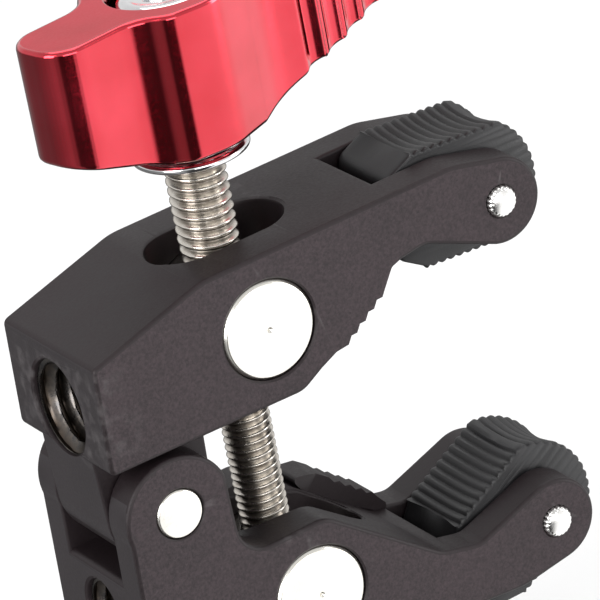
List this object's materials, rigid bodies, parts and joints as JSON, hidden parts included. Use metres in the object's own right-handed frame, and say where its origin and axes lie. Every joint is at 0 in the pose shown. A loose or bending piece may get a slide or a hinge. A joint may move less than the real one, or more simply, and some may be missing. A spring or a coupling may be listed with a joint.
{
  "type": "super clamp",
  "caption": "Crab-jaw super clamp with threaded sockets in its rear faces; a two-handed screw with a ratcheting lever closes two jaws with pivoting rubber pads.",
  "frame": {"origin": "mouth of the 3/8 inch threaded hole in the upper jaw's rear face, on its axis", "axes": "+X from the rear face towards the jaw tips, +Y along the hinge pin, +Z from the lower jaw up to the lever"},
  "size_m": [0.0541, 0.021, 0.0736],
  "materials": {
    "jaw_black": "dark anodised and bead-blasted",
    "bright_nickel": "bright nickel plate",
    "screw_steel": "nickel-plated steel",
    "pad_rubber": "semi-gloss moulded rubber",
    "lever_red": "glossy red anodised",
    "spring_steel": "bright spring wire"
  },
  "bodies": {
    "upper_jaw": {"upper_jaw": "jaw_black", "upper_pad_pin": "bright_nickel"},
    "lower_jaw": {"lower_jaw": "jaw_black", "hinge_pin": "bright_nickel", "lower_pad_pin": "bright_nickel"},
    "upper_trunnion": {"upper_trunnion": "bright_nickel"},
    "lower_trunnion": {"lower_trunnion": "bright_nickel"},
    "washer": {"lever_washer": "bright_nickel"},
    "screw": {"clamp_screw": "screw_steel", "ratchet_hub": "bright_nickel", "end_stop_ring": "screw_steel", "lever_cap_screw": "bright_nickel", "lever_spring": "spring_steel"},
    "lever": {"lever_handle": "lever_red"},
    "upper_pad": {"upper_pad": "pad_rubber"},
    "lower_pad": {"lower_pad": "pad_rubber"}
  },
  "joints": [
    {"name": "jaw_hinge", "type": "hinge", "parent": "upper_jaw", "child": "lower_jaw", "pos_m": [0.0064, 0, -0.0106], "axis": [0, 1, 0], "range_deg": [-23.6, 19.7]},
    {"name": "upper_trunnion_tilt", "type": "hinge", "parent": "upper_jaw", "child": "upper_trunnion", "pos_m": [0.01893, 0, 0.00408], "axis": [0, 1, 0], "range_deg": [-11.8, 9.85]},
    {"name": "lower_trunnion_tilt", "type": "hinge", "parent": "lower_jaw", "child": "lower_trunnion", "pos_m": [0.01988, 0, -0.02441], "axis": [0, 1, 0], "range_deg": [-9.85, 11.8]},
    {"name": "screw_travel", "type": "slide", "parent": "upper_trunnion", "child": "washer", "axis": [-0.0332, 0, 0.9995], "range_m": [-0.00251, 0.00301]},
    {"name": "screw_turn", "type": "hinge", "parent": "washer", "child": "screw", "pos_m": [0.01893, 0, 0.00408], "axis": [-0.0332, 0, 0.9995], "range_deg": [-1080, 900]},
    {"name": "lever_lift", "type": "slide", "parent": "screw", "child": "lever", "axis": [-0.0332, 0, 0.9995], "range_m": [0, 0.003], "stiffness_N_per_m": 400, "springref_m": -0.003, "deforming": ["lever_spring"]},
    {"name": "upper_pad_pivot", "type": "hinge", "parent": "upper_jaw", "child": "upper_pad", "pos_m": [0.0459, 0, 0.0082], "axis": [0, 1, 0], "range_deg": [-40, 40]},
    {"name": "lower_pad_pivot", "type": "hinge", "parent": "lower_jaw", "child": "lower_pad", "pos_m": [0.04706, 0, -0.02674], "axis": [0, 1, 0], "range_deg": [-20, 60]}
  ],
  "couplings": [
    {"joint": "jaw_hinge", "follows": "screw_turn", "ratio": 0.0218},
    {"joint": "upper_trunnion_tilt", "follows": "screw_turn", "ratio": 0.0109},
    {"joint": "lower_trunnion_tilt", "follows": "screw_turn", "ratio": -0.0109},
    {"joint": "screw_travel", "follows": "screw_turn", "m_per_rad": -0.00015915}
  ]
}
